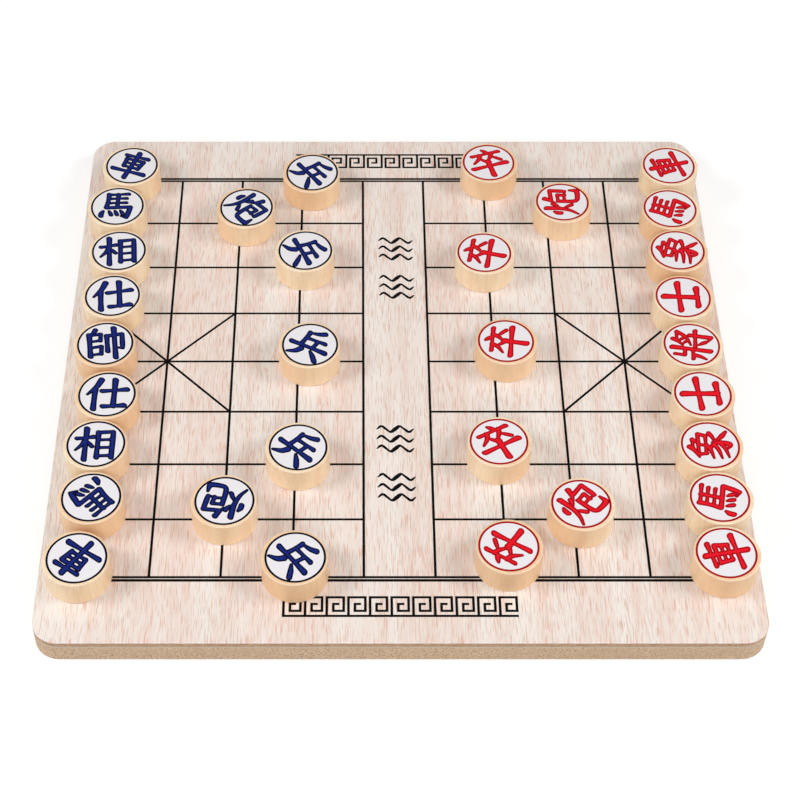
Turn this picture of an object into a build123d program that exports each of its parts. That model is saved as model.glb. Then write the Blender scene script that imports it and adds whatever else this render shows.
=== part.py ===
"""A xiangqi set: a layered wooden board and its thirty-two chessmen, set out for the first move.

The origin is at the middle of the board's underside. +Z is up, the river runs along Y through the
middle of the board, the blue side has the -X half and the red side the +X half.
"""

import os

from build123d import *

# Driving dimensions, in millimetres.

# The field of play: lines on a square grid, with the men on their crossings.
grid_pitch = 30.0          # from one line to the next
squares_count_x = 9        # squares from the blue back line to the red one, the river among them
squares_count_y = 8        # squares from the front line to the far one
men_gap = 2.0              # left between two men that stand on neighbouring crossings

# The board: a printed panel and a pale veneer on a fibreboard core, cut and rounded together.
rim_past_men = 2.5         # board left outside a man that stands on the outermost line
ornament_band = 14.5       # extra board in front of the grid and behind it, for a printed band
print_off_centre = 1.5     # how far the print, and the men with it, sit towards the far edge
corner_radius = 11.0       # rounded corners, seen from above
panel_thickness = 2.7      # dark hardboard that carries the printed face
veneer_thickness = 0.8     # pale ply between the panel and the core
core_thickness = 9.0       # medium-density fibreboard
top_arris = 0.5            # rounding of the printed face's edge
foot_arris = 0.4           # chamfer under the core

# A chessman: a wooden disc turned with straight sides and broken edges.
man_height = 13.0
crown_round = 0.6          # rounding between the side and the printed face
foot_round = 0.5           # rounding of the face that it stands on

# What follows from them.
man_radius = (grid_pitch - men_gap) / 2
side_margin = man_radius + rim_past_men
board_width = squares_count_x * grid_pitch + 2 * side_margin
board_depth = squares_count_y * grid_pitch + 2 * (side_margin + ornament_band)
veneer_underside = core_thickness
panel_underside = veneer_underside + veneer_thickness
board_top = panel_underside + panel_thickness

back_line = squares_count_x / 2           # in grid steps from the middle of the river
cannon_line = back_line - 2
soldier_line = back_line - 3
far_rank = squares_count_y / 2            # in grid steps from the middle rank

# How each man stands off its crossing along X and Y, in shares of the gap between men.
# Every list runs from the far rank to the near one.
BACK_LINE = ("chariot_1", "horse_1", "elephant_1", "advisor_1", "general",
             "advisor_2", "elephant_2", "horse_2", "chariot_2")
STRAY_SHARES = {
    "blue": {
        "back": ((2.7, -1.3), (0.3, -0.7), (1.9, -0.8), (1.6, -0.4), (1.2, -0.3),
                 (2.9, -0.4), (1.7, 0.5), (2.0, 1.0), (0.4, 0.3)),
        "cannon": ((1.6, -1.1), (0.3, 0.1)),
        "soldier": ((2.3, -3.8), (1.1, -0.7), (2.7, -0.6), (0.6, -0.4), (0.6, 0.5)),
    },
    "red": {
        "back": ((0.8, -1.3), (-0.5, -1.5), (-0.2, -0.6), (-0.6, -0.8), (-0.3, -0.6),
                 (0.5, -0.2), (0.4, 0.2), (0.7, 0.9), (0.3, 1.6)),
        "cannon": ((3.6, 0.8), (1.2, -0.7)),
        "soldier": ((1.3, -0.2), (-1.1, -1.4), (2.6, 0.5), (-0.4, 1.2), (0.3, 3.3)),
    },
}


def board_layer(label, underside, thickness):
    """One layer of the board, with the outline that all three were cut to together."""
    with BuildPart() as layer:
        with BuildSketch(Plane.XY.offset(underside)):
            RectangleRounded(board_width, board_depth, corner_radius)
        extrude(amount=thickness)
        if label == "printed_top_panel":
            fillet(layer.edges().group_by(Axis.Z)[-1], radius=top_arris)
        if label == "mdf_core":
            chamfer(layer.edges().group_by(Axis.Z)[0], length=foot_arris)
    layer.part.label = label
    return layer.part


def turned_man(label, x, y):
    """One chessman, turned about its own axis and standing on the printed face at (x, y)."""
    half_section = Plane(origin=(x, y, board_top), x_dir=(1, 0, 0), z_dir=(0, -1, 0))
    with BuildPart() as man:
        with BuildSketch(half_section):
            with BuildLine():
                foot = Line((0, 0), (man_radius - foot_round, 0))
                toe = RadiusArc(foot @ 1, (man_radius, foot_round), -foot_round)
                side = Line(toe @ 1, (man_radius, man_height - crown_round))
                crown = RadiusArc(side @ 1, (man_radius - crown_round, man_height), -crown_round)
                face = Line(crown @ 1, (0, man_height))
                Line(face @ 1, foot @ 0)
            make_face()
        revolve(axis=Axis((x, y, board_top), (0, 0, 1)))
    man.part.label = label
    return man.part


def men_of(side, towards_back):
    """The sixteen men of one side. towards_back is -1 for the -X half and +1 for the +X half."""
    stray = STRAY_SHARES[side]
    two_ranks = (far_rank - 1, 1 - far_rank)
    lines = [(name, back_line, far_rank - i, stray["back"][i])
             for i, name in enumerate(BACK_LINE)]
    lines += [(f"cannon_{i + 1}", cannon_line, rank, stray["cannon"][i])
              for i, rank in enumerate(two_ranks)]
    lines += [(f"soldier_{i + 1}", soldier_line, far_rank - 2 * i, stray["soldier"][i])
              for i in range(len(stray["soldier"]))]
    for name, line, rank, (stray_x, stray_y) in lines:
        x = towards_back * line * grid_pitch + stray_x * men_gap
        y = print_off_centre + rank * grid_pitch + stray_y * men_gap
        yield turned_man(f"{side}_{name}", x, y)


pieces = [
    board_layer("mdf_core", 0, core_thickness),
    board_layer("pale_veneer", veneer_underside, veneer_thickness),
    board_layer("printed_top_panel", panel_underside, panel_thickness),
    *men_of("blue", -1),
    *men_of("red", 1),
]

os.makedirs("parts", exist_ok=True)
for piece in pieces:
    export_step(piece, f"parts/{piece.label}.step")
    print(f"{piece.label}: {piece.volume:.1f} mm3")
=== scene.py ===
"""Dresses a packed xiangqi set: the wooden board with its printed face, and its thirty-two chessmen.

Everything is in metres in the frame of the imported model: the origin is at the middle of the board's
underside, +Z is up, the river runs along Y, and the blue side has the -X half.
"""

import math

import bmesh
import bpy
from mathutils import Matrix, Vector, geometry


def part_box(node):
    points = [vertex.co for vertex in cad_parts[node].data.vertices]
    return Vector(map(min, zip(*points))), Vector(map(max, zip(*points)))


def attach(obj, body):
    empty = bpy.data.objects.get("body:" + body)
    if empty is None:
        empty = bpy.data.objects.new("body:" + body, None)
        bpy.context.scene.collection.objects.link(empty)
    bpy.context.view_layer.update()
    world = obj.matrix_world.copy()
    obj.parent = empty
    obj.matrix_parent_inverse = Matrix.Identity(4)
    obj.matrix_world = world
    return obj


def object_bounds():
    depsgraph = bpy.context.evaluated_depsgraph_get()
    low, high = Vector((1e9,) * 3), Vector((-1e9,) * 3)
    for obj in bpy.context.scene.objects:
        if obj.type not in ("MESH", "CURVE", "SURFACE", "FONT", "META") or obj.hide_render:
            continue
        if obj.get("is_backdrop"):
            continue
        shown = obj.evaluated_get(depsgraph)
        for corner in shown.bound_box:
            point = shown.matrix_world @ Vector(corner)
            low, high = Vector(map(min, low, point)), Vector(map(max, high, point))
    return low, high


bl_info = {
    "name": "Xiangqi Set",
    "version": (1, 0, 0),
    "blender": (4, 5, 0),
    "location": "3D View > Sidebar > Xiangqi",
    "description": "Prints, inks and lights a xiangqi board and its chessmen",
    "category": "Object",
}

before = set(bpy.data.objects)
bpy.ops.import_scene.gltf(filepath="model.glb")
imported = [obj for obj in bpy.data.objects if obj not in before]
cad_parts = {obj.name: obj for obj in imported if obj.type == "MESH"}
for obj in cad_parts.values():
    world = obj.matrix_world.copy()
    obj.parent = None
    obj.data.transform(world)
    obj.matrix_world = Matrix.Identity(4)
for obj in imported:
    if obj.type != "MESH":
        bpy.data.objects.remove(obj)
cad_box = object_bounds()

BOARD_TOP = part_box("printed_top_panel")[1].z
SIDES = ("blue", "red")
MEN = sorted(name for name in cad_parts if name.startswith(SIDES))

CAMERA_PLACE = (-0.01755, -0.5679, 0.6617)
CAMERA_TILT = math.radians(40.08)   # from looking straight down
CAMERA_LENS = 84.56                 # focal length, mm
CAMERA_SENSOR = 36.0                # width of the film, mm
CAMERA_SHIFT = 0.0528

# The lamps: name, degrees round the board from its near side, degrees above it, and power setting.
LAMPS = (
    ("left_lamp", -80, 42, "lamp_power"),
    ("right_lamp", 80, 42, "lamp_power"),
    ("front_lamp", 0, 35, "fill_power"),
)
FLOOR_GREY = (0.62, 0.62, 0.62, 1.0)
FLOOR_GLOW = 0.505                  # added to the lit floor, so that it is white to the camera

# Shares of red, green and blue by which a sawn edge's fibres are darker or lighter than the edge.
DARK_FIBRE = (0.85, 1.0, 1.1)
LIGHT_FIBRE = (0.8, 0.7, 0.55)
LIGHT_FIBRE_SIZE = 0.6              # against the dark ones

# A Mix node's sockets for its factor and its two colours, and for the colour that comes out.
MIX_INPUTS = (0, 6, 7)
MIX_RESULT = 2

# The noises that the shared effects are made of: their mean, and their waves to the metre.
NOISE_MEAN = 0.5
WANDER_WAVES = 70.0
INK_CLOUD_WAVES = 700.0
INK_GRIT_WAVES = 4200.0
PINHOLE_GRIT = (0.64, 0.76)         # the grit's values where a pinhole begins and where it is open

ROUND_SIDES = 96                    # of a circle in a man's print
NIB_SIDES = 20                      # of the brush's outline
STRAIGHT_STEPS = 5                  # of a cornered stroke, from each of its points to the next
CURVE_STEPS = 6                     # of a curved stroke, from each of its points to the next
HANDLE_PART = 6                     # a curve's handle is the way between a point's neighbours over this
JOIN_REACH = 1e-4                   # points of a print nearer than this are one
SMALL_BEND = math.radians(1.0)      # corners flatter than this aren't kept in a print's outline
WRITING_UNITS = 100                 # across the square that a character is written in

# A brush stroke is (kind, weight, points...), written left to right and top to bottom as in a copybook.
# Points and weights are in hundredths of the square that a character is written in, from its lower left
# corner. A kind gives the share of the weight along the stroke.
STROKE_SHAPES = {
    "heng": (0.95, 0.65, 0.65, 1.1),            # level
    "shu": (1.1, 0.8, 0.8, 1.0),                # upright
    "pie": (1.05, 0.9, 0.6, 0.2),               # falls to the left and thins out
    "na": (0.3, 0.65, 1.15, 0.5),               # falls to the right and swells
    "dian": (0.35, 0.95, 1.0),                  # dot
    "zhe": (0.8, 0.65, 0.95, 0.85, 0.9),        # level, then down from a corner
    "gou": (0.85, 0.8, 0.85, 1.0, 0.2),         # cornered, with a hook at its end
    "wan": (0.8, 0.8, 0.9, 0.95, 1.1, 0.25),    # bent, with a hook at its end
    "ripple": (0.3, 1.0, 0.75, 1.1, 0.75, 1.0, 0.3),
}
CORNERED = ("zhe", "gou")
NIB_FLATNESS = 0.7
NIB_TURN = math.radians(-38)

# The finishes of a man's printed face, in their order on its mesh.
WHITE, EDGE, FILL = range(3)

# How far a rank's dark edge reaches past its strokes, and how far its fill stays inside them, in
# shares of the outline's width.
EDGE_REACH = 0.75
FILL_RETREAT = 0.60

# The ranks in the plain regular hand of textbooks.
CHARACTERS = {
    "chariot": (
        ("heng", 10, (20, 82), (50, 84), (80, 86)),
        ("shu", 10, (27, 70), (28, 56), (30, 42)),
        ("zhe", 10, (27, 70), (74, 72), (70, 42)),
        ("heng", 7, (30, 56), (70, 57)),
        ("heng", 8, (30, 42), (70, 43)),
        ("heng", 12, (7, 24), (50, 26), (93, 28)),
        ("shu", 12, (50, 98), (50, 50), (50, 2)),
    ),
    "horse": (
        ("shu", 10, (26, 93), (25, 68), (22, 44)),
        ("heng", 8, (26, 92), (50, 93), (76, 95)),
        ("heng", 7, (26, 77), (72, 79)),
        ("heng", 7, (25, 61), (72, 63)),
        ("shu", 9, (50, 93), (50, 70), (50, 46)),
        ("gou", 11, (22, 44), (84, 47), (76, 8), (62, 14)),
        ("dian", 11, (15, 32), (11, 23), (10, 14)),
        ("dian", 9, (30, 32), (33, 26), (36, 18)),
        ("dian", 9, (45, 33), (48, 27), (51, 19)),
        ("dian", 9, (59, 34), (63, 28), (66, 21)),
    ),
    "blue_elephant": (
        ("heng", 9, (5, 66), (24, 68), (44, 71)),
        ("shu", 11, (26, 95), (26, 50), (26, 4)),
        ("pie", 9, (25, 66), (18, 48), (4, 32)),
        ("dian", 9, (29, 58), (34, 52), (41, 43)),
        ("shu", 10, (54, 84), (54, 46), (54, 10)),
        ("zhe", 11, (54, 84), (88, 86), (88, 10)),
        ("heng", 7, (55, 62), (87, 63)),
        ("heng", 7, (55, 39), (87, 40)),
        ("heng", 8, (55, 15), (87, 16)),
    ),
    "blue_advisor": (
        ("pie", 12, (34, 95), (23, 72), (4, 50)),
        ("shu", 12, (21, 66), (21, 36), (21, 5)),
        ("heng", 11, (38, 60), (66, 62), (96, 65)),
        ("shu", 12, (67, 94), (67, 54), (67, 14)),
        ("heng", 12, (43, 13), (67, 14), (92, 16)),
    ),
    "blue_general": (
        ("pie", 9, (29, 97), (24, 89), (15, 80)),
        ("shu", 11, (13, 82), (13, 50), (13, 12)),
        ("zhe", 8, (13, 80), (41, 82), (39, 60)),
        ("heng", 7, (13, 60), (39, 61)),
        ("zhe", 8, (13, 40), (41, 42), (39, 17)),
        ("heng", 7, (13, 17), (39, 18)),
        ("shu", 10, (55, 74), (55, 50), (55, 24)),
        ("gou", 10, (55, 74), (92, 76), (91, 30), (80, 33)),
        ("shu", 11, (73, 97), (73, 50), (73, 2)),
    ),
    "cannon": (
        ("dian", 10, (14, 73), (10, 65), (9, 56)),
        ("pie", 9, (43, 75), (38, 67), (31, 60)),
        ("pie", 11, (27, 93), (26, 58), (19, 32), (6, 12)),
        ("dian", 9, (28, 46), (34, 37), (39, 27)),
        ("pie", 10, (62, 96), (56, 83), (47, 70)),
        ("gou", 10, (58, 79), (92, 81), (89, 42), (78, 44)),
        ("zhe", 8, (54, 61), (76, 62), (74, 43)),
        ("heng", 7, (54, 44), (74, 45)),
        ("wan", 11, (53, 61), (52, 27), (56, 13), (68, 10), (86, 10), (92, 14), (93, 30)),
    ),
    "blue_soldier": (
        ("pie", 10, (66, 97), (52, 89), (31, 83)),
        ("shu", 10, (31, 83), (31, 62), (30, 43)),
        ("heng", 9, (31, 65), (56, 67), (81, 69)),
        ("shu", 9, (62, 66), (62, 54), (61, 43)),
        ("heng", 12, (5, 38), (50, 41), (95, 43)),
        ("pie", 12, (38, 30), (30, 16), (12, 5)),
        ("dian", 13, (62, 31), (74, 21), (86, 9)),
    ),
    "red_elephant": (
        ("pie", 9, (42, 99), (32, 87), (13, 76)),
        ("heng", 7, (36, 90), (64, 92)),
        ("pie", 7, (64, 92), (58, 84), (51, 79)),
        ("shu", 8, (21, 76), (23, 67), (25, 59)),
        ("zhe", 8, (21, 77), (81, 79), (76, 60)),
        ("shu", 7, (50, 78), (49, 68), (48, 60)),
        ("heng", 7, (25, 60), (76, 61)),
        ("pie", 8, (50, 60), (36, 50), (12, 43)),
        ("wan", 10, (38, 51), (54, 42), (59, 26), (57, 10), (52, 4), (42, 10)),
        ("pie", 8, (52, 42), (38, 32), (13, 24)),
        ("pie", 8, (58, 28), (42, 16), (17, 8)),
        ("pie", 8, (85, 53), (74, 45), (60, 40)),
        ("na", 11, (58, 45), (72, 28), (91, 14)),
    ),
    "red_advisor": (
        ("heng", 14, (5, 57), (50, 60), (95, 63)),
        ("shu", 14, (50, 97), (50, 56), (50, 16)),
        ("heng", 14, (21, 14), (50, 15), (80, 17)),
    ),
    "red_general": (
        ("zhe", 8, (14, 88), (14, 64), (34, 65)),
        ("heng", 8, (5, 43), (34, 46)),
        ("pie", 9, (17, 43), (15, 28), (8, 12)),
        ("shu", 11, (35, 96), (35, 50), (35, 4)),
        ("pie", 8, (62, 97), (56, 84), (45, 71)),
        ("heng", 7, (58, 87), (86, 89)),
        ("pie", 8, (86, 89), (72, 66), (48, 52)),
        ("dian", 7, (60, 79), (64, 76), (68, 71)),
        ("dian", 7, (52, 69), (56, 66), (60, 61)),
        ("heng", 9, (44, 41), (70, 43), (95, 45)),
        ("gou", 11, (79, 58), (79, 6), (66, 12)),
        ("dian", 9, (52, 32), (57, 26), (62, 18)),
    ),
    "red_soldier": (
        ("dian", 11, (45, 99), (50, 94), (55, 87)),
        ("heng", 9, (14, 81), (50, 83), (86, 85)),
        ("pie", 9, (35, 82), (29, 68), (12, 53)),
        ("dian", 8, (33, 68), (38, 62), (44, 55)),
        ("pie", 9, (67, 84), (60, 69), (48, 54)),
        ("dian", 9, (64, 71), (74, 63), (84, 54)),
        ("heng", 12, (5, 34), (50, 37), (95, 40)),
        ("shu", 13, (50, 54), (50, 28), (50, 0)),
    ),
}

# How far each man is turned on the board, in degrees clockwise from upright. Each rank goes from the
# far men to the near ones.
TURNS = {
    "blue": {
        "chariot": (22, -143),
        "horse": (0, 136),
        "elephant": (-5, 0),
        "advisor": (-6, 0),
        "general": (-8,),
        "cannon": (48, 190),
        "soldier": (56, 68, 31, 45, 54),
    },
    "red": {
        "chariot": (-105, -101),
        "horse": (-69, -76),
        "elephant": (-68, -86),
        "advisor": (-87, -90),
        "general": (-80,),
        "cannon": (-90, -50),
        "soldier": (-15, -76, -80, -26, -144),
    },
}
TOWARDS_RIVER = {"blue": 1, "red": -1}

# The grid: its outer lines and the edges of the river, in grid steps from the middle.
BACK_LINE = 4.5
FAR_LINE = 4.0
BANK = 0.5
PALACE_DEPTH = 2
PALACE_REACH = 1

# The fret bands: square spirals in a row. A spiral's corners are given in shares of the way from one
# spiral to the next and of the band's height.
FRET_SPIRALS = 11
FRET_WIDTH = 0.78
FRET_TURNS = ((0, 0), (0, 1), (FRET_WIDTH, 1), (FRET_WIDTH, 0.27), (0.3, 0.27), (0.3, 0.64), (0.52, 0.64))

# The marks along the river: their middles in grid steps, and the three ripples that make each mark, in
# hundredths of its square.
RIVER_MARKS = ((0.025, 2.42), (0.03, 1.575), (-0.03, -1.52), (-0.02, -2.42))
RIPPLE_HEIGHTS = (80, 50, 20)
RIPPLE_WEIGHT = 10
RIPPLE_START = 6
RIPPLE_SWING = 9
QUARTER_WAVE = 11
QUARTER_WAVES = 8
RIPPLE = tuple(
    (RIPPLE_START + QUARTER_WAVE * i, RIPPLE_SWING * math.sin(i * math.pi / 2))
    for i in range(QUARTER_WAVES + 1)
)


def length(name, description, default):
    """A size in metres that the panel shows."""
    return bpy.props.FloatProperty(
        name=name, description=description, default=default, min=0.0, unit="LENGTH",
        subtype="DISTANCE", precision=5,
    )


def power(name, description, default):
    """A lamp's power in watts that the panel shows."""
    return bpy.props.FloatProperty(
        name=name, description=description, default=default, min=0.0, unit="POWER",
    )


def colour(name, description, hex_code):
    """A surface colour that the panel shows, from its usual six-figure code."""
    return bpy.props.FloatVectorProperty(
        name=name, description=description, default=linear(hex_code), min=0.0, max=1.0, size=4,
        subtype="COLOR",
    )


def linear(hex_code):
    """Linear red, green, blue and alpha of a six-figure sRGB code."""
    channels = (int(hex_code[i:i + 2], 16) / 255 for i in (0, 2, 4))
    return (*((c / 12.92 if c <= 0.04045 else ((c + 0.055) / 1.055) ** 2.4) for c in channels), 1.0)


class XiangqiBoardSettings(bpy.types.PropertyGroup):
    """The board's wood and its printed lines."""

    pitch: length("Grid step", "Distance from one line to the next", 0.030)
    off_centre: length("Off centre", "How far the board's print sits towards the far edge", 0.0015)
    line: length("Line", "Width of the grid's lines", 0.0011)
    border: length("Border", "Width of the line round the grid", 0.0013)
    border_gap: length("Border gap", "From the grid's outer line to the border, middle to middle", 0.0016)
    ink: length("Ink thickness", "How far the print stands off the face", 0.00005)
    mark: length("River mark", "Side of the square that a river mark is painted in", 0.0185)
    band_length: length("Band length", "Length of the fret band", 0.0965)
    band_height: length("Band height", "Height of the fret band", 0.0092)
    band_inset: length("Band inset", "From the outer grid line to the middle of the fret band", 0.0147)
    arris: length("Arris", "How far the printed face reaches down the panel's edge", 0.0004)
    ground: colour("Ground", "Palest tone of the printed beech", "F1E9E2")
    rose: colour("Rose", "Warm tone of the printed beech", "ECD8CD")
    fleck: colour("Fleck", "The print's short warm streaks", "D9A68C")
    ash: colour("Ash", "The print's grey-brown streaks", "C2AC9C")
    hardboard: colour("Hardboard", "Edge of the panel that carries the print", "C59B75")
    veneer: colour("Veneer", "Edge of the pale ply", "D9CAB8")
    fibreboard: colour("Fibreboard", "Sawn edge of the core", "E6C6A5")
    black: colour("Line ink", "Ink of the lines, the river marks and the bands", "080707")


class XiangqiMenSettings(bpy.types.PropertyGroup):
    """The chessmen's wood and their printed faces."""

    ring: length("Ring radius", "Radius of the printed ring at the middle of its line", 0.0123)
    ring_line: length("Ring line", "Width of the printed ring", 0.00090)
    drift: length("Drift", "How far the prints sit off the men's middles, towards the river", 0.0004)
    writing: length("Writing square", "Side of the square that a rank is written in", 0.0188)
    outline: length("Outline", "Width of the dark line round a brush stroke", 0.00052)
    swell: length("Swell", "How far the brush spreads past a stroke's own weight", 0.00012)
    ink: length("Ink thickness", "Thickness of one printed layer", 0.00004)
    wood: colour("Wood", "Turned wood", "F5CEA2")
    wood_pale: colour("Pale wood", "Turned wood of the paler men", "FBE6C4")
    wood_streak: colour("Wood streak", "Darker streaks in the turned wood", "E3B285")
    paper: colour("White", "White ground of the face", "EEEBEE")
    blue: colour("Blue ink", "Fill of the blue ranks", "1A2878")
    blue_edge: colour("Blue edge", "Ring and outline of the blue ranks", "0A0C26")
    red: colour("Red ink", "Fill of the red ranks", "EA1A28")
    red_edge: colour("Red edge", "Ring and outline of the red ranks", "A80E1C")


class XiangqiStageSettings(bpy.types.PropertyGroup):
    """The floor, the lamps and the sky."""

    floor: length("Floor", "Side of the floor", 1.5)
    lamp_distance: length("Lamp distance", "From the middle of the board to each lamp", 1.3)
    lamp_size: length("Lamp size", "Side of each lamp", 0.5)
    lamp_power: power("Lamp power", "Power of each side lamp", 7.55)
    fill_power: power("Fill power", "Power of the lamp over the front", 4.6)
    lamp_colour: colour("Lamp colour", "Colour of the lamps", "F8FBFF")
    sky: bpy.props.FloatProperty(
        name="Sky", description="Strength of the light from all round", default=0.27, min=0.0,
    )
    sky_colour: colour("Sky colour", "Colour of the light from all round", "FFF5E8")


# Shader nodes.


def add(tree, kind, **settings):
    """A new node in a tree, with its properties set."""
    node = tree.nodes.new(kind)
    for name, value in settings.items():
        setattr(node, name, value)
    return node


def plug(tree, socket, value):
    """Links an input to another node's output, or sets it to a value."""
    if isinstance(value, bpy.types.NodeSocket):
        tree.links.new(value, socket)
    else:
        socket.default_value = value


def feed(tree, node, **values):
    """Links or sets a node's inputs, by their names with spaces as underscores."""
    for name, value in values.items():
        plug(tree, node.inputs[name.replace("_", " ")], value)
    return node


def blend_colours(tree, factor, first, second):
    """Colour output that goes from the first colour to the second."""
    mix = add(tree, "ShaderNodeMix", data_type="RGBA", blend_type="MIX")
    for socket, value in zip(MIX_INPUTS, (factor, first, second)):
        plug(tree, mix.inputs[socket], value)
    return mix.outputs[MIX_RESULT]


def maths(tree, operation, first, second):
    """Output of a Math node on two values."""
    node = add(tree, "ShaderNodeMath", operation=operation)
    for socket, value in zip(node.inputs, (first, second)):
        plug(tree, socket, value)
    return node.outputs[0]


def vector_maths(tree, operation, first, second):
    """Output of a Vector Math node on two values, the second of them a number where it scales."""
    node = add(tree, "ShaderNodeVectorMath", operation=operation)
    plug(tree, node.inputs[0], first)
    plug(tree, node.inputs["Scale" if operation == "SCALE" else 1], second)
    return node.outputs[0]


def stain(tree, base, mask, tone, share):
    """Colour of a base that a mask stains with a tone, at most by a share."""
    return blend_colours(tree, maths(tree, "MULTIPLY", mask.outputs[0], share), base, tone)


def start_group(name, inputs, outputs):
    """A new shader group with these sockets, its input node and its output node."""
    group = bpy.data.node_groups.new(name, "ShaderNodeTree")
    for socket, kind, value in inputs:
        made = group.interface.new_socket(socket, in_out="INPUT", socket_type=kind)
        if value is not None:
            made.default_value = value
    for socket, kind in outputs:
        group.interface.new_socket(socket, in_out="OUTPUT", socket_type=kind)
    return group, add(group, "NodeGroupInput"), add(group, "NodeGroupOutput")


def streaks_group():
    """Fibres, flecks or specks: a mask whose marks are about Cell in size and wander from their line."""
    group, given, result = start_group(
        "streaks",
        (
            ("Vector", "NodeSocketVector", None),
            ("Cell", "NodeSocketVector", (0.001, 0.001, 0.001)),
            ("Wander", "NodeSocketFloat", 0.0),
            ("Detail", "NodeSocketFloat", 2.0),
            ("Low", "NodeSocketFloat", 0.4),
            ("High", "NodeSocketFloat", 0.6),
        ),
        (("Mask", "NodeSocketFloat"),),
    )
    place = given.outputs["Vector"]
    drift = feed(group, add(group, "ShaderNodeTexNoise"), Vector=place, Scale=WANDER_WAVES)
    centred = vector_maths(group, "SUBTRACT", drift.outputs["Color"], (NOISE_MEAN,) * 3)
    shift = vector_maths(group, "SCALE", centred, given.outputs["Wander"])
    moved = vector_maths(group, "ADD", place, shift)
    cells = vector_maths(group, "DIVIDE", moved, given.outputs["Cell"])
    noise = feed(
        group, add(group, "ShaderNodeTexNoise"), Vector=cells, Scale=1.0, Detail=given.outputs["Detail"],
    )
    spread = feed(
        group, add(group, "ShaderNodeMapRange", interpolation_type="SMOOTHSTEP"),
        Value=noise.outputs[0], From_Min=given.outputs["Low"], From_Max=given.outputs["High"],
    )
    group.links.new(spread.outputs[0], result.inputs["Mask"])
    return group


def arris_group():
    """Rounded edges: a mask that is 1 where the surface leans between level and upright."""
    group, given, result = start_group(
        "arris",
        (("Normal", "NodeSocketVector", None), ("Steep", "NodeSocketFloat", 0.3)),
        (("Mask", "NodeSocketFloat"),),
    )
    parts = add(group, "ShaderNodeSeparateXYZ")
    group.links.new(given.outputs["Normal"], parts.inputs[0])
    level = maths(group, "ABSOLUTE", parts.outputs["Z"], 0.0)
    upright = maths(group, "SUBTRACT", 1.0, level)
    both = maths(group, "MINIMUM", level, upright)
    mask = maths(group, "DIVIDE", both, given.outputs["Steep"])
    group.links.new(maths(group, "MINIMUM", mask, 1.0), result.inputs["Mask"])
    return group


def ink_group():
    """Printed ink: its tone drifts a little in patches, and sparse pinholes show what lies under it."""
    group, given, result = start_group(
        "printed_ink",
        (
            ("Vector", "NodeSocketVector", None),
            ("Ink", "NodeSocketColor", (0.0, 0.0, 0.0, 1.0)),
            ("Under", "NodeSocketColor", (1.0, 1.0, 1.0, 1.0)),
            ("Pinholes", "NodeSocketFloat", 0.1),
            ("Drift", "NodeSocketFloat", 0.1),
        ),
        (("Color", "NodeSocketColor"), ("Height", "NodeSocketFloat")),
    )
    place = given.outputs["Vector"]
    cloud = feed(group, add(group, "ShaderNodeTexNoise"), Vector=place, Scale=INK_CLOUD_WAVES, Detail=3.0)
    grit = feed(group, add(group, "ShaderNodeTexNoise"), Vector=place, Scale=INK_GRIT_WAVES, Detail=1.0)
    lift = maths(group, "SUBTRACT", cloud.outputs[0], NOISE_MEAN)
    level = maths(group, "ADD", maths(group, "MULTIPLY", lift, given.outputs["Drift"]), 1.0)
    tone = vector_maths(group, "SCALE", given.outputs["Ink"], level)
    holes = feed(
        group, add(group, "ShaderNodeMapRange", interpolation_type="SMOOTHSTEP"),
        Value=grit.outputs[0], From_Min=PINHOLE_GRIT[0], From_Max=PINHOLE_GRIT[1],
    )
    share = maths(group, "MULTIPLY", holes.outputs[0], given.outputs["Pinholes"])
    mixed = blend_colours(group, share, tone, given.outputs["Under"])
    group.links.new(mixed, result.inputs["Color"])
    group.links.new(grit.outputs[0], result.inputs["Height"])
    return group


def shared_group(name):
    """One of the shared effects, made the first time that a material asks for it."""
    makers = {"streaks": streaks_group, "arris": arris_group, "printed_ink": ink_group}
    return bpy.data.node_groups.get(name) or makers[name]()


def effect(tree, name, **values):
    """A shared effect placed in a material with its own values."""
    node = add(tree, "ShaderNodeGroup", node_tree=shared_group(name))
    return feed(tree, node, **values)


def start_material(name, roughness, specular=0.5):
    """A new material: its tree, its shader, and its Object coordinates."""
    material = bpy.data.materials.new(name)
    material.use_nodes = True
    tree = material.node_tree
    shader = tree.nodes["Principled BSDF"]
    feed(tree, shader, Roughness=roughness, Specular_IOR_Level=specular)
    return material, tree, shader, add(tree, "ShaderNodeTexCoord").outputs["Object"]


def bump(tree, shader, height, distance):
    """Raises the surface by a height that a pattern gives."""
    node = feed(tree, add(tree, "ShaderNodeBump"), Height=height, Distance=distance)
    tree.links.new(node.outputs[0], shader.inputs["Normal"])


# The finishes.


def sawn_edge(tree, place, base, cell, depth):
    """Colour of a sawn edge: fibres of about the cell's size, darker and lighter than the base."""
    dark = effect(tree, "streaks", Vector=place, Cell=cell, Wander=0.001, Detail=4.0, Low=0.44, High=0.66)
    fine = [size * LIGHT_FIBRE_SIZE for size in cell]
    light = effect(tree, "streaks", Vector=place, Cell=fine, Detail=3.0, Low=0.52, High=0.64)
    darker = [c * (1 - depth * share) for c, share in zip(base, DARK_FIBRE)]
    lighter = [c + (1 - c) * depth * share for c, share in zip(base, LIGHT_FIBRE)]
    tone = blend_colours(tree, dark.outputs[0], base, (*darker, 1.0))
    return blend_colours(tree, light.outputs[0], tone, (*lighter, 1.0))


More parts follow.
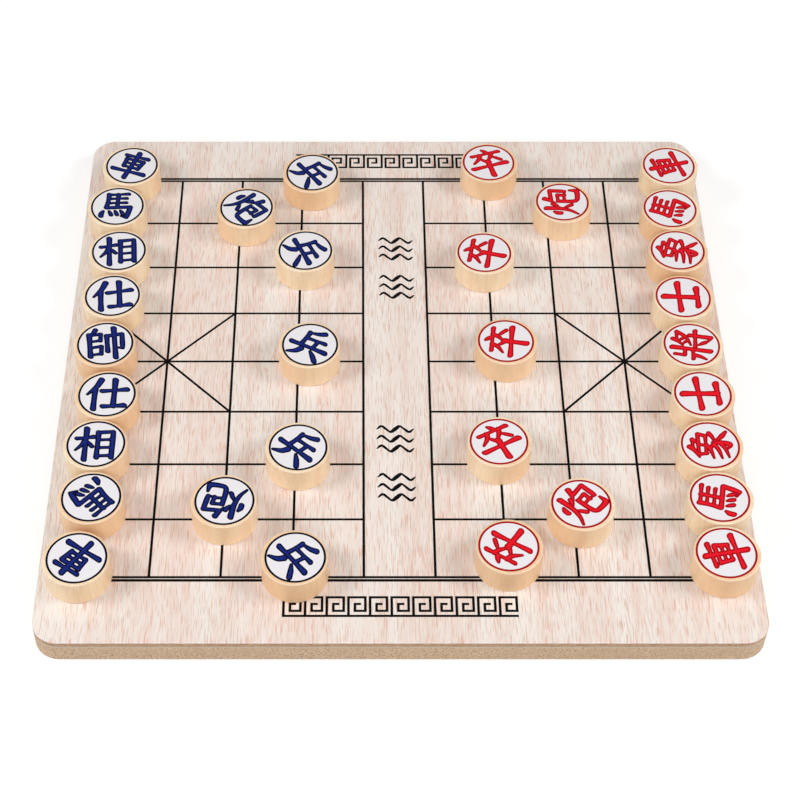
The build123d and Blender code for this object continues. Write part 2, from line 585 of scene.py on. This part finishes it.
def printed_beech(board):
    """Beech printed on hardboard: flecks along Y on the face, bare brown board on the sawn edge."""
    material, tree, shader, place = start_material("printed_beech", roughness=0.5)
    bands = effect(tree, "streaks", Vector=place, Cell=(0.009, 0.16, 0.02), Low=0.36, High=0.64)
    clouds = effect(tree, "streaks", Vector=place, Cell=(0.030, 0.055, 0.05), Low=0.35, High=0.70)
    warm = effect(
        tree, "streaks", Vector=place, Cell=(0.00042, 0.0092, 0.01), Wander=0.0014, Detail=1.0,
        Low=0.575, High=0.655,
    )
    hair = effect(
        tree, "streaks", Vector=place, Cell=(0.00034, 0.0060, 0.01), Wander=0.0014, Detail=1.0,
        Low=0.53, High=0.66,
    )
    pale = effect(
        tree, "streaks", Vector=place, Cell=(0.0009, 0.012, 0.02), Wander=0.0010, Detail=2.5,
        Low=0.48, High=0.60,
    )
    face = blend_colours(tree, bands.outputs[0], board.ground, board.rose)
    face = stain(tree, face, pale, board.ground, share=0.5)
    face = stain(tree, face, warm, board.fleck, share=0.66)
    ash_everywhere = 0.12
    ash_in_clouds = 0.35
    ash_share = maths(tree, "MULTIPLY", clouds.outputs[0], ash_in_clouds)
    ash_share = maths(tree, "ADD", ash_share, ash_everywhere)
    face = stain(tree, face, hair, board.ash, share=ash_share)
    sawn = sawn_edge(tree, place, board.hardboard, cell=(0.004, 0.004, 0.00045), depth=0.35)
    height = add(tree, "ShaderNodeSeparateXYZ")
    tree.links.new(place, height.inputs[0])
    top = maths(tree, "GREATER_THAN", height.outputs["Z"], BOARD_TOP - board.arris)
    tree.links.new(blend_colours(tree, top, sawn, face), shader.inputs["Base Color"])
    bump(tree, shader, warm.outputs[0], distance=0.00002)
    return material


def pale_ply(board):
    """The thin light line between the panel and the core."""
    material, tree, shader, place = start_material("pale_ply", roughness=0.6)
    tone = sawn_edge(tree, place, board.veneer, cell=(0.003, 0.003, 0.0004), depth=0.12)
    tree.links.new(tone, shader.inputs["Base Color"])
    return material


def fibreboard(board):
    """Sawn fibreboard: fine specks with a few long fibres, slightly furry."""
    material, tree, shader, place = start_material("fibreboard", roughness=0.85, specular=0.25)
    specks = sawn_edge(tree, place, board.fibreboard, cell=(0.0010, 0.0010, 0.0007), depth=0.52)
    patches = effect(tree, "streaks", Vector=place, Cell=(0.012, 0.012, 0.006), Low=0.35, High=0.7)
    dimming = 0.88
    shade = [c * dimming for c in board.fibreboard[:3]]
    tone = stain(tree, specks, patches, (*shade, 1.0), share=0.4)
    tree.links.new(tone, shader.inputs["Base Color"])
    fur = effect(tree, "streaks", Vector=place, Cell=(0.0006, 0.0006, 0.0004), Low=0.3, High=0.7)
    bump(tree, shader, fur.outputs[0], distance=0.00008)
    return material


def turned_wood(men):
    """Pale close-grained wood turned across the end of a dowel: fibres along Z, and the broken edges
    paler, a painted highlight that also stands for wear.
    """
    material, tree, shader, place = start_material("turned_wood_finish", roughness=0.42)
    fibres = effect(
        tree, "streaks", Vector=place, Cell=(0.0007, 0.0007, 0.010), Wander=0.001, Low=0.46, High=0.72,
    )
    rings = effect(
        tree, "streaks", Vector=place, Cell=(0.006, 0.006, 0.03), Wander=0.004, Low=0.4, High=0.66,
    )
    each = effect(tree, "streaks", Vector=place, Cell=(0.075, 0.075, 0.5), Detail=0.0, Low=0.35, High=0.6)
    tone = blend_colours(tree, each.outputs[0], men.wood, men.wood_pale)
    tone = stain(tree, tone, rings, men.wood_streak, share=0.25)
    tone = stain(tree, tone, fibres, men.wood_streak, share=0.28)
    normal = add(tree, "ShaderNodeTexCoord").outputs["Normal"]
    # Painted highlight and wear: the rounded crown and foot edges are paled, as if they caught the light
    # and were rubbed.
    edge_highlight_and_wear = effect(tree, "arris", Normal=normal, Steep=0.3)
    highlight_paling = 0.45
    pale = [c + (1 - c) * highlight_paling for c in men.wood[:3]]
    tone = stain(tree, tone, edge_highlight_and_wear, (*pale, 1.0), share=0.6)
    tree.links.new(tone, shader.inputs["Base Color"])
    bump(tree, shader, fibres.outputs[0], distance=0.00002)
    return material


def ink_finish(name, ink, under, pinholes=0.10, drift=0.35):
    """A printed ink over what it was printed on."""
    material, tree, shader, place = start_material(name, roughness=0.45, specular=0.03)
    print_tone = effect(
        tree, "printed_ink", Vector=place, Ink=ink, Under=under, Pinholes=pinholes, Drift=drift,
    )
    tree.links.new(print_tone.outputs["Color"], shader.inputs["Base Color"])
    bump(tree, shader, print_tone.outputs["Height"], distance=0.00001)
    return material


# Flat ink shapes. A patch is a convex outline in the units that the shape is drawn in.


def strip(start, end, width, reach=0.0):
    """Patch of a straight line of a given width, run on past both its ends by the reach."""
    start = Vector(start)
    end = Vector(end)
    along = (end - start).normalized()
    across = Vector((-along.y, along.x)) * width / 2
    start -= along * reach
    end += along * reach
    return [start + across, start - across, end - across, end + across]


def touch(centre, width, grow):
    """Outline of the flat brush set down once, grown by grow."""
    outline = []
    for i in range(NIB_SIDES):
        turn = 2 * math.pi * i / NIB_SIDES
        long = (width / 2 + grow) * math.cos(turn)
        short = (width / 2 * NIB_FLATNESS + grow) * math.sin(turn)
        outline.append(centre + Vector((long, short)) @ Matrix.Rotation(-NIB_TURN, 2))
    return outline


def cornered_line(points):
    """Points along the straight runs between the given ones."""
    line = []
    for start, end in zip(points, points[1:]):
        line += [Vector(start).lerp(Vector(end), i / STRAIGHT_STEPS) for i in range(STRAIGHT_STEPS)]
    return [*line, Vector(points[-1])]


def smooth_line(points):
    """Points along a smooth curve through the given ones."""
    knots = [Vector(p) for p in points]
    knots = [2 * knots[0] - knots[1], *knots, 2 * knots[-1] - knots[-2]]
    line = []
    for before, start, end, after in zip(knots, knots[1:], knots[2:], knots[3:]):
        pull_in = start + (end - before) / HANDLE_PART
        pull_out = end - (after - start) / HANDLE_PART
        line += geometry.interpolate_bezier(start, pull_in, pull_out, end, CURVE_STEPS + 1)[:-1]
    return [*line, knots[-2]]


def stroke_patches(stroke, grow):
    """Patches of one brush stroke: hulls of neighbouring touches of the brush, each grown by grow."""
    kind, weight, *points = stroke
    shares = STROKE_SHAPES[kind]
    line = cornered_line(points) if kind in CORNERED else smooth_line(points)
    reached = [0.0]
    for here, there in zip(line, line[1:]):
        reached.append(reached[-1] + (there - here).length)
    touches = []
    for point, way in zip(line, reached):
        place = way / reached[-1] * (len(shares) - 1)
        step = min(int(place), len(shares) - 2)
        share = shares[step] + (shares[step + 1] - shares[step]) * (place - step)
        touches.append(touch(point, weight * share, grow))
    for here, there in zip(touches, touches[1:]):
        both = here + there
        yield [both[i] for i in geometry.convex_hull_2d(both)]


def each_once(items):
    """The items in their first order, each only once, so that every run works in the same order."""
    return list(dict.fromkeys(items))


def raise_ink(bm, faces, low, high, material=0):
    """Turns flat faces into one closed layer of ink between two heights."""
    for face in faces:
        face.material_index = material
    corners = each_once(vert for face in faces for vert in face.verts)
    bmesh.ops.translate(bm, verts=corners, vec=(0, 0, low))
    raised = bmesh.ops.extrude_face_region(bm, geom=faces, use_keep_orig=True)
    top = [item for item in raised["geom"] if isinstance(item, bmesh.types.BMVert)]
    bmesh.ops.translate(bm, verts=top, vec=(0, 0, high - low))


def lay_ink(bm, patches, low, high, scale=1.0, material=0):
    """Adds one layer of ink to bm: the patches, joined where they overlap."""
    corners = []
    outlines = []
    for patch in patches:
        outlines.append(range(len(corners), len(corners) + len(patch)))
        corners += patch
    joined = geometry.delaunay_2d_cdt(corners, [], outlines, 1, JOIN_REACH)
    verts = [bm.verts.new((x * scale, y * scale, 0)) for x, y in joined[0]]
    faces = [
        bm.faces.new([verts[i] for i in triangle])
        for triangle, patches_under in zip(joined[2], joined[5]) if patches_under
    ]
    loose = [vert for vert in verts if not vert.link_faces]
    bmesh.ops.delete(bm, geom=loose, context="VERTS")
    verts = each_once(vert for face in faces for vert in face.verts)
    edges = each_once(edge for face in faces for edge in face.edges)
    flat = bmesh.ops.dissolve_limit(bm, angle_limit=SMALL_BEND, verts=verts, edges=edges)
    layer = [item for item in flat["region"] if isinstance(item, bmesh.types.BMFace)]
    raise_ink(bm, layer, low, high, material)


def to_mesh(name, bm):
    """Turns a finished bmesh into a mesh with its faces outwards."""
    bmesh.ops.recalc_face_normals(bm, faces=bm.faces)
    mesh = bpy.data.meshes.new(name)
    bm.to_mesh(mesh)
    bm.free()
    return mesh


def place_piece(name, mesh, materials, body):
    """A new piece in the frame, with its finishes, riding on a body."""
    piece = bpy.data.objects.new(name, mesh)
    bpy.context.scene.collection.objects.link(piece)
    for material in materials:
        mesh.materials.append(material)
    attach(piece, body)


def board_print(name, patches, board):
    """A piece of black print on the board's face, drawn in grid steps."""
    bm = bmesh.new()
    lay_ink(bm, patches, BOARD_TOP, BOARD_TOP + board.ink, board.pitch)
    bmesh.ops.translate(bm, verts=bm.verts, vec=(0, board.off_centre, 0))
    black = bpy.data.materials.get("line_ink") or ink_finish("line_ink", board.black, board.ground)
    place_piece(name, to_mesh(name, bm), [black], "board")


class XIANGQI_OT_board(bpy.types.Operator):
    """Finishes the three layers of the board"""

    bl_idname = "xiangqi.board"
    bl_label = "Finish Board"

    def execute(self, context):
        board = context.scene.xiangqi_board
        finishes = {
            "printed_top_panel": printed_beech(board),
            "pale_veneer": pale_ply(board),
            "mdf_core": fibreboard(board),
        }
        for node, finish in finishes.items():
            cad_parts[node].data.materials.clear()
            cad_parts[node].data.materials.append(finish)
        return {"FINISHED"}


class XIANGQI_OT_grid(bpy.types.Operator):
    """Prints the lines of the two camps, the palaces and the border"""

    bl_idname = "xiangqi.grid"
    bl_label = "Print Grid"

    def execute(self, context):
        board = context.scene.xiangqi_board
        line = board.line / board.pitch
        border = board.border / board.pitch
        gap = board.border_gap / board.pitch
        patches = []
        for step in range(int(2 * BACK_LINE) + 1):
            x = step - BACK_LINE
            patches.append(strip((x, -FAR_LINE), (x, FAR_LINE), line, line / 2))
        for step in range(int(2 * FAR_LINE) + 1):
            y = step - FAR_LINE
            if abs(y) == FAR_LINE:
                patches.append(strip((-BACK_LINE, y), (BACK_LINE, y), line, line / 2))
            else:
                patches.append(strip((-BACK_LINE, y), (-BANK, y), line, line / 2))
                patches.append(strip((BANK, y), (BACK_LINE, y), line, line / 2))
        out_x = BACK_LINE + gap
        out_y = FAR_LINE + gap
        for side in (-1, 1):
            inner = side * (BACK_LINE - PALACE_DEPTH)
            for reach in (-PALACE_REACH, PALACE_REACH):
                patches.append(strip((side * BACK_LINE, -reach), (inner, reach), line))
            upright = (side * out_x, -out_y), (side * out_x, out_y)
            level = (-out_x, side * out_y), (out_x, side * out_y)
            patches.append(strip(*upright, border, border / 2))
            patches.append(strip(*level, border, border / 2))
        board_print("grid_print", patches, board)
        return {"FINISHED"}


class XIANGQI_OT_river_marks(bpy.types.Operator):
    """Paints the marks of three ripples along the river"""

    bl_idname = "xiangqi.river_marks"
    bl_label = "Paint River Marks"

    def execute(self, context):
        board = context.scene.xiangqi_board
        patches = []
        for middle in RIVER_MARKS:
            square = (
                Matrix.Translation((*middle, 0))
                @ Matrix.Scale(board.mark / board.pitch / WRITING_UNITS, 4)
                @ Matrix.Translation((-WRITING_UNITS / 2, -WRITING_UNITS / 2, 0))
            )
            for height in RIPPLE_HEIGHTS:
                stroke = ("ripple", RIPPLE_WEIGHT, *((x, y + height) for x, y in RIPPLE))
                for patch in stroke_patches(stroke, 0):
                    patches.append([(square @ p.to_3d()).to_2d() for p in patch])
        board_print("river_marks", patches, board)
        return {"FINISHED"}


class XIANGQI_OT_fret_bands(bpy.types.Operator):
    """Prints a band of square spirals on the near and on the far margin"""

    bl_idname = "xiangqi.fret_bands"
    bl_label = "Print Fret Bands"

    def execute(self, context):
        board = context.scene.xiangqi_board
        length_in_steps = board.band_length / board.pitch
        high = board.band_height / board.pitch
        width = board.line / board.pitch
        spiral = length_in_steps / (FRET_SPIRALS - 1 + FRET_WIDTH)
        middle = FAR_LINE + board.band_inset / board.pitch
        foot = middle + high / 2
        end = length_in_steps / 2
        patches = []
        for side in (-1, 1):
            patches.append(strip((-end, side * foot), (end, side * foot), width, width / 2))
            for i in range(FRET_SPIRALS):
                corners = [
                    (side * (end - (i + u) * spiral), side * (foot - v * high)) for u, v in FRET_TURNS
                ]
                for start, stop in zip(corners, corners[1:]):
                    patches.append(strip(start, stop, width, width / 2))
        board_print("fret_bands", patches, board)
        return {"FINISHED"}


class XIANGQI_OT_chessmen(bpy.types.Operator):
    """Finishes the turned wood of the thirty-two men"""

    bl_idname = "xiangqi.chessmen"
    bl_label = "Finish Chessmen"

    def execute(self, context):
        finish = turned_wood(context.scene.xiangqi_men)
        for name in MEN:
            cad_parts[name].data.materials.clear()
            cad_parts[name].data.materials.append(finish)
        return {"FINISHED"}


def rank_print(side, rank, men):
    """Mesh of a man's printed face about the origin, in rising layers of ink.

    The white ground is one layer high, the ring and the rank's dark edge two, and its fill three.
    """
    character = rank if rank in CHARACTERS else f"{side}_{rank}"
    unit = men.writing / WRITING_UNITS
    ink = men.ink
    bm = bmesh.new()
    ground = bmesh.ops.create_circle(bm, cap_ends=True, radius=men.ring, segments=ROUND_SIDES)
    raise_ink(bm, ground["verts"][0].link_faces[:], 0, ink, WHITE)
    rim = men.ring + men.ring_line / 2
    ring = bmesh.ops.create_circle(bm, cap_ends=True, radius=rim, segments=ROUND_SIDES)
    middle = ring["verts"][0].link_faces[0]
    inset = bmesh.ops.inset_region(bm, faces=[middle], thickness=men.ring_line, use_boundary=True)
    bmesh.ops.delete(bm, geom=[middle], context="FACES_ONLY")
    raise_ink(bm, inset["faces"], 0, 2 * ink, EDGE)
    middle_of_square = Vector((WRITING_UNITS / 2, WRITING_UNITS / 2))
    for grow, top, finish in ((EDGE_REACH, 2, EDGE), (-FILL_RETREAT, 3, FILL)):
        patches = [
            [p - middle_of_square for p in patch]
            for stroke in CHARACTERS[character]
            for patch in stroke_patches(stroke, (grow * men.outline + men.swell) / unit)
        ]
        lay_ink(bm, patches, ink, top * ink, unit, finish)
    return to_mesh(f"{side}_{rank}_face", bm)


class XIANGQI_OT_rank_prints(bpy.types.Operator):
    """Prints the face of each man: white ground, ring and rank"""

    bl_idname = "xiangqi.rank_prints"
    bl_label = "Print Ranks"

    def execute(self, context):
        men = context.scene.xiangqi_men
        white = ink_finish("white_ground", men.paper, men.wood, pinholes=0.25, drift=0.05)
        inks = {}
        for side, fill, edge in (("blue", men.blue, men.blue_edge), ("red", men.red, men.red_edge)):
            inks[side] = (
                white,
                ink_finish(f"{side}_edge_ink", edge, fill),
                ink_finish(f"{side}_ink", fill, men.paper, pinholes=0.04),
            )
        faces = {}
        for name in MEN:
            side, rank, *number = name.split("_")
            if (side, rank) not in faces:
                faces[side, rank] = rank_print(side, rank, men)
            low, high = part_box(name)
            turn = TURNS[side][rank][int(number[0]) - 1 if number else 0]
            middle = (low + high).to_2d() / 2 + Vector((TOWARDS_RIVER[side] * men.drift, 0))
            mesh = faces[side, rank].copy()
            mesh.transform(
                Matrix.Translation((*middle, high.z)) @ Matrix.Rotation(-math.radians(turn), 4, "Z")
            )
            place_piece(f"{name}_print", mesh, inks[side], name)
        return {"FINISHED"}


def floor_finish():
    """White floor that stays white to the camera and in reflections, and keeps the shadow."""
    material, tree, shader, _ = start_material("white_floor", roughness=0.9, specular=0.0)
    feed(tree, shader, Base_Color=FLOOR_GREY)
    rays = add(tree, "ShaderNodeLightPath")
    seen = maths(tree, "MAXIMUM", rays.outputs["Is Camera Ray"], rays.outputs["Is Glossy Ray"])
    strength = maths(tree, "MULTIPLY", seen, FLOOR_GLOW)
    glow = feed(tree, add(tree, "ShaderNodeEmission"), Strength=strength)
    both = add(tree, "ShaderNodeAddShader")
    tree.links.new(shader.outputs[0], both.inputs[0])
    tree.links.new(glow.outputs[0], both.inputs[1])
    tree.links.new(both.outputs[0], tree.nodes["Material Output"].inputs["Surface"])
    return material


def white_sky(stage):
    """World that lights from all round, a little warmly, and is plain white to the camera."""
    world = bpy.data.worlds.new("white_sky")
    world.use_nodes = True
    tree = world.node_tree
    rays = add(tree, "ShaderNodeLightPath")
    seen = maths(tree, "MAXIMUM", rays.outputs["Is Camera Ray"], rays.outputs["Is Glossy Ray"])
    span = feed(tree, add(tree, "ShaderNodeMapRange"), Value=seen, To_Min=stage.sky, To_Max=1.0)
    tone = blend_colours(tree, seen, stage.sky_colour, (1, 1, 1, 1))
    feed(tree, tree.nodes["Background"], Color=tone, Strength=span.outputs[0])
    return world


def soft_lamp(name, azimuth, height, watts, stage):
    """A square soft lamp that looks at the middle of the board."""
    lamp = bpy.data.lights.new(name, "AREA")
    lamp.size = stage.lamp_size
    lamp.energy = watts
    lamp.color = stage.lamp_colour[:3]
    holder = bpy.data.objects.new(name, lamp)
    bpy.context.scene.collection.objects.link(holder)
    turn = math.radians(azimuth)
    rise = math.radians(height)
    away = Vector((math.sin(turn) * math.cos(rise), -math.cos(turn) * math.cos(rise), math.sin(rise)))
    holder.location = away * stage.lamp_distance
    holder.rotation_euler = away.to_track_quat("Z", "Y").to_euler()


class XIANGQI_OT_stage(bpy.types.Operator):
    """Makes the floor, the lamps, the sky and the camera"""

    bl_idname = "xiangqi.stage"
    bl_label = "Make Stage"

    def execute(self, context):
        scene = context.scene
        stage = scene.xiangqi_stage
        bm = bmesh.new()
        bmesh.ops.create_grid(bm, x_segments=1, y_segments=1, size=stage.floor / 2)
        floor = bpy.data.objects.new("floor", to_mesh("floor", bm))
        floor.data.materials.append(floor_finish())
        scene.collection.objects.link(floor)
        floor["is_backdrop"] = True
        scene.world = white_sky(stage)
        for name, azimuth, height, setting in LAMPS:
            soft_lamp(name, azimuth, height, getattr(stage, setting), stage)
        lens = bpy.data.cameras.new("camera")
        lens.lens = CAMERA_LENS
        lens.sensor_width = CAMERA_SENSOR
        lens.shift_x = CAMERA_SHIFT
        camera = bpy.data.objects.new("camera", lens)
        camera.location = CAMERA_PLACE
        camera.rotation_euler = (CAMERA_TILT, 0.0, 0.0)
        scene.collection.objects.link(camera)
        scene.camera = camera
        scene.view_settings.view_transform = "Standard"
        return {"FINISHED"}


class XIANGQI_PT_panel(bpy.types.Panel):
    """Shows the set's settings and a button for each operator that makes its pieces"""

    bl_idname = "XIANGQI_PT_panel"
    bl_label = "Xiangqi Set"
    bl_space_type = "VIEW_3D"
    bl_region_type = "UI"
    bl_category = "Xiangqi"

    def draw(self, context):
        for settings in ("xiangqi_board", "xiangqi_men", "xiangqi_stage"):
            group = getattr(context.scene, settings)
            box = self.layout.box()
            for name in group.bl_rna.properties.keys():
                if name not in ("rna_type", "name"):
                    box.prop(group, name)
        for operator in OPERATORS:
            self.layout.operator(operator.bl_idname)


SETTINGS = {
    "xiangqi_board": XiangqiBoardSettings,
    "xiangqi_men": XiangqiMenSettings,
    "xiangqi_stage": XiangqiStageSettings,
}
OPERATORS = (
    XIANGQI_OT_stage,
    XIANGQI_OT_board,
    XIANGQI_OT_grid,
    XIANGQI_OT_river_marks,
    XIANGQI_OT_fret_bands,
    XIANGQI_OT_chessmen,
    XIANGQI_OT_rank_prints,
)


def register():
    """Registers the settings, the operators and the panel."""
    for name, settings in SETTINGS.items():
        bpy.utils.register_class(settings)
        setattr(bpy.types.Scene, name, bpy.props.PointerProperty(type=settings))
    for operator in OPERATORS:
        bpy.utils.register_class(operator)
    bpy.utils.register_class(XIANGQI_PT_panel)


def unregister():
    """Takes back what register did."""
    bpy.utils.unregister_class(XIANGQI_PT_panel)
    for operator in reversed(OPERATORS):
        bpy.utils.unregister_class(operator)
    for name, settings in SETTINGS.items():
        delattr(bpy.types.Scene, name)
        bpy.utils.unregister_class(settings)


def main():
    """Makes every piece in order."""
    register()
    bpy.ops.xiangqi.stage()
    bpy.ops.xiangqi.board()
    bpy.ops.xiangqi.grid()
    bpy.ops.xiangqi.river_marks()
    bpy.ops.xiangqi.fret_bands()
    bpy.ops.xiangqi.chessmen()
    bpy.ops.xiangqi.rank_prints()
    sizes = {"cad": cad_box, "visual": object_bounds()}
    {name: [list(corner) for corner in box] for name, box in sizes.items()}


if __name__ == "__main__":
    main()
